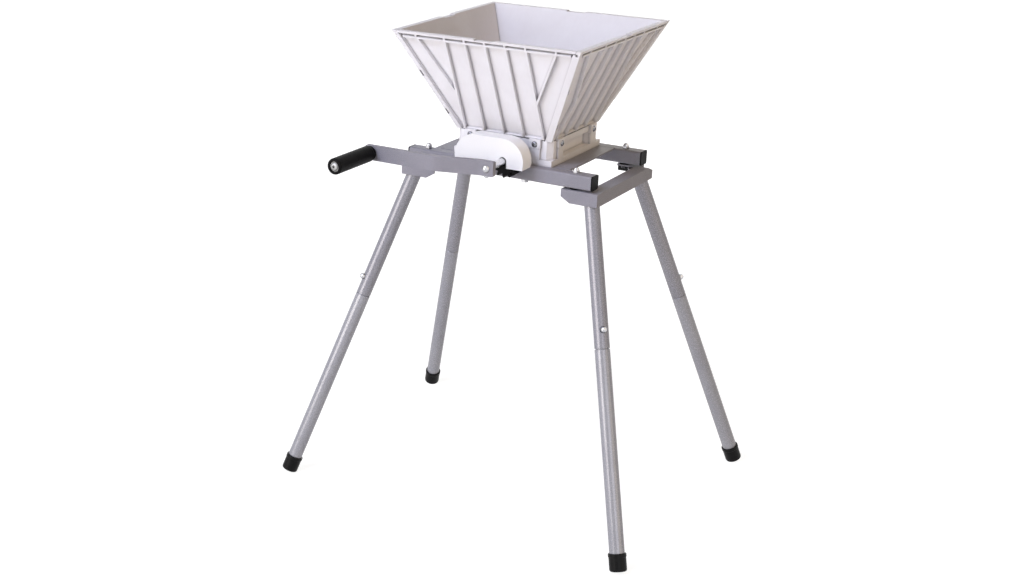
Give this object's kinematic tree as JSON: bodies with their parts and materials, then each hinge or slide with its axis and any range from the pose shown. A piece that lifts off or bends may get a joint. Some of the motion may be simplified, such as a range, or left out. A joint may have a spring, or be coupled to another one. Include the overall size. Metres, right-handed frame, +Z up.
{
  "type": "hand-cranked fruit mill on a stand",
  "caption": "Hand-cranked fruit mill: a ribbed square hopper feeds two geared crushing rollers, carried by a square-tube frame on splayed two-piece legs with rubber feet.",
  "frame": {"origin": "on the floor, straight below the centre of the hopper and of the four legs", "axes": "+Z up, -Y towards the crank side (the front), +X to the right along the rails seen from the front"},
  "size_m": [0.5948, 0.5183, 0.714],
  "materials": {
    "white_plastic": "moulded, satin",
    "frame_paint": "silver-grey powder coat on steel",
    "black_plastic": "moulded, fine grain",
    "black_rubber": "soft, matt",
    "bright_steel": "zinc plated",
    "roller_metal": "cast",
    "bush_bronze": "sintered bronze"
  },
  "bodies": {
    "stand": {"hopper_front": "white_plastic", "hopper_right": "white_plastic", "hopper_rear": "white_plastic", "hopper_left": "white_plastic", "corner_strip_fl": "white_plastic", "corner_strip_fr": "white_plastic", "corner_strip_rl": "white_plastic", "corner_strip_rr": "white_plastic", "housing": "white_plastic", "gear_cover": "white_plastic", "front_rail": "frame_paint", "rear_rail": "frame_paint", "left_cross_plate": "frame_paint", "right_cross_plate": "frame_paint", "left_bracket": "frame_paint", "right_bracket": "frame_paint", "upper_leg_fl": "frame_paint", "upper_leg_fr": "frame_paint", "upper_leg_rl": "frame_paint", "upper_leg_rr": "frame_paint", "lower_leg_fl": "frame_paint", "lower_leg_fr": "frame_paint", "lower_leg_rl": "frame_paint", "lower_leg_rr": "frame_paint", "rail_caps": "black_plastic", "rail_washers": "black_rubber", "foot_fl": "black_rubber", "foot_fr": "black_rubber", "foot_rl": "black_rubber", "foot_rr": "black_rubber", "hopper_screws": "bright_steel", "cover_screw": "bright_steel", "rail_bolts": "bright_steel", "rail_nuts": "bright_steel", "housing_bolts": "bright_steel", "housing_nuts": "bright_steel", "button_springs": "bright_steel", "drive_bush_front": "bush_bronze", "drive_bush_rear": "bush_bronze", "driven_bush_front": "bush_bronze", "driven_bush_rear": "bush_bronze"},
    "crank": {"drive_shaft": "bright_steel", "drive_roller": "roller_metal", "drive_gear": "black_plastic", "drive_gear_screw": "bright_steel", "crank_arm": "frame_paint", "crank_bolt": "bright_steel", "crank_set_screw": "bright_steel", "grip_bolt": "bright_steel", "grip_washer": "bright_steel", "grip_nut": "bright_steel"},
    "driven_roller_set": {"driven_shaft": "bright_steel", "driven_roller": "roller_metal", "driven_gear": "black_plastic", "driven_gear_screw": "bright_steel"},
    "grip": {"grip": "black_plastic"},
    "button_fl": {"snap_button_fl": "bright_steel"},
    "button_fr": {"snap_button_fr": "bright_steel"},
    "button_rl": {"snap_button_rl": "bright_steel"},
    "button_rr": {"snap_button_rr": "bright_steel"}
  },
  "joints": [
    {"name": "crank_spin", "type": "hinge", "parent": "stand", "child": "crank", "pos_m": [0.023, 0, 0.538], "axis": [0, 1, 0], "continuous": true},
    {"name": "driven_spin", "type": "hinge", "parent": "stand", "child": "driven_roller_set", "pos_m": [-0.023, 0, 0.538], "axis": [0, 1, 0], "continuous": true},
    {"name": "grip_spin", "type": "hinge", "parent": "crank", "child": "grip", "pos_m": [-0.159, -0.237, 0.538], "axis": [0, 1, 0], "continuous": true},
    {"name": "button_press_fl", "type": "slide", "parent": "stand", "child": "button_fl", "axis": [-0.6498, -0.6592, 0.3784], "range_m": [-0.0055, 0], "stiffness_N_per_m": 900},
    {"name": "button_press_fr", "type": "slide", "parent": "stand", "child": "button_fr", "axis": [0.6498, -0.6592, 0.3784], "range_m": [-0.0055, 0], "stiffness_N_per_m": 900},
    {"name": "button_press_rl", "type": "slide", "parent": "stand", "child": "button_rl", "axis": [-0.6498, 0.6592, 0.3784], "range_m": [-0.0055, 0], "stiffness_N_per_m": 900},
    {"name": "button_press_rr", "type": "slide", "parent": "stand", "child": "button_rr", "axis": [0.6498, 0.6592, 0.3784], "range_m": [-0.0055, 0], "stiffness_N_per_m": 900}
  ],
  "couplings": [
    {"joint": "driven_spin", "follows": "crank_spin", "ratio": -1}
  ]
}
